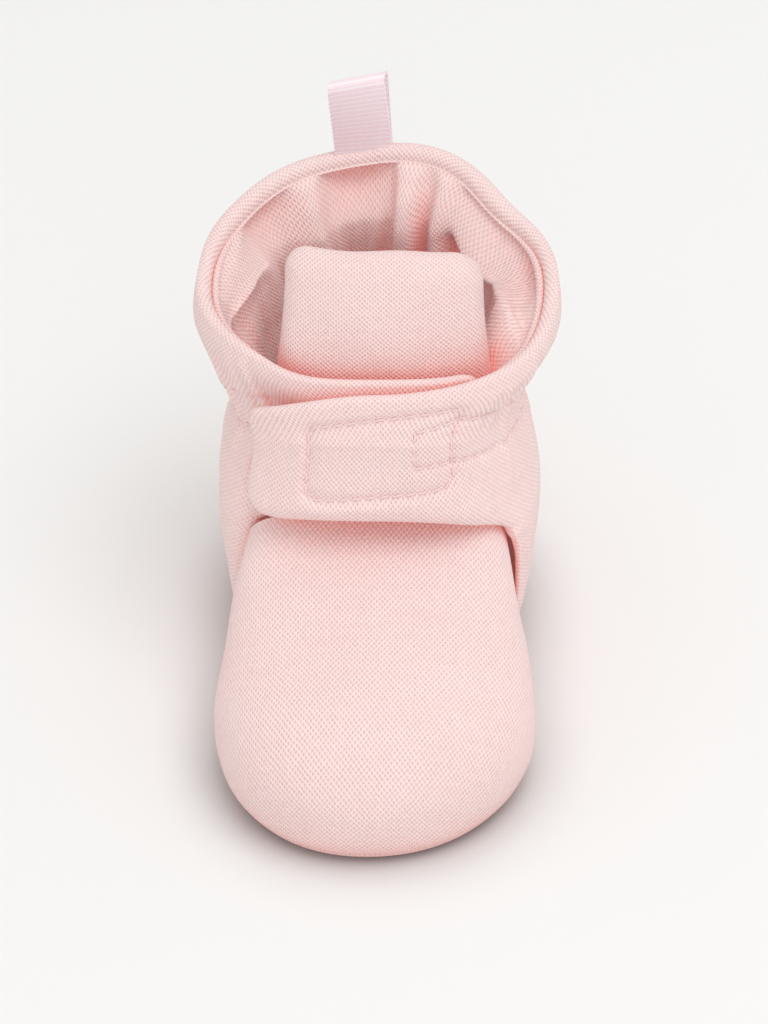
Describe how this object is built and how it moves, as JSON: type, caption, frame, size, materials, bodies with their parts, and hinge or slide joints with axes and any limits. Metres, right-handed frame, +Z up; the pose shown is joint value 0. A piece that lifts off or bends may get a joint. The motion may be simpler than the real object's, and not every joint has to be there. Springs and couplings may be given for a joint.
{
  "type": "baby bootie",
  "caption": "Soft knitted baby bootie with a gathered ankle, a wrap-over hook-and-loop strap, a padded tongue and a ribbon pull loop.",
  "frame": {"origin": "on the floor under the middle of the sole's length and width", "axes": "+Z up, toe towards -Y and heel towards +Y, +X towards the side the strap is sewn on"},
  "size_m": [0.0704, 0.114, 0.1062],
  "materials": {
    "outer_knit": "soft interlock cotton knit, pale pink",
    "lining_knit": "soft cotton jersey, pale pink",
    "wadding": "white polyester wadding",
    "elastic": "white braided elastic",
    "thread": "pale lilac polyester thread",
    "ribbon": "ribbed ribbon, pale lilac pink",
    "hook_tape": "moulded nylon hook tape",
    "loop_tape": "brushed nylon loop tape",
    "grip_rubber": "printed soft grip dots"
  },
  "bodies": {
    "shoe": {"sole_outer": "outer_knit", "grip_dots": "grip_rubber", "sole_foam": "wadding", "insole_lining": "lining_knit", "toe_panel": "outer_knit", "toe_panel_lining": "lining_knit", "tongue_root": "outer_knit", "heel_panel": "outer_knit", "heel_panel_lining": "lining_knit", "ankle_elastic": "elastic", "ankle_stitching": "thread", "pull_loop_tail": "ribbon"},
    "strap": {"strap": "outer_knit", "strap_lining": "lining_knit", "hook_patch": "hook_tape", "hook_patch_stitching": "thread", "strap_elastic_end": "elastic", "strap_elastic_stitching": "thread"},
    "under_flap": {"under_flap": "outer_knit", "under_flap_lining": "lining_knit", "loop_patch": "loop_tape", "loop_patch_stitching": "thread"},
    "tongue": {"tongue_face": "outer_knit", "tongue_wadding": "wadding", "tongue_lining": "lining_knit"},
    "pull_loop": {"pull_loop": "ribbon"}
  },
  "joints": [
    {"name": "strap_peel", "type": "hinge", "parent": "shoe", "child": "strap", "pos_m": [0.0305, 0.0045, 0.037], "axis": [0.03, 0.14, 0.9897], "range_deg": [0, 150]},
    {"name": "under_flap_open", "type": "hinge", "parent": "shoe", "child": "under_flap", "pos_m": [-0.0305, 0.0045, 0.037], "axis": [0.03, -0.14, -0.9897], "range_deg": [0, 30]},
    {"name": "tongue_fold", "type": "hinge", "parent": "shoe", "child": "tongue", "pos_m": [0, 0.01, 0.075], "axis": [1, 0, 0], "range_deg": [-20, 50]},
    {"name": "pull_loop_swing", "type": "hinge", "parent": "shoe", "child": "pull_loop", "pos_m": [-0.003, 0.0551, 0.0892], "axis": [1, 0, 0], "range_deg": [-60, 60]}
  ],
  "couplings": [
    {"joint": "under_flap_open", "follows": "strap_peel", "ratio": 0.2}
  ]
}
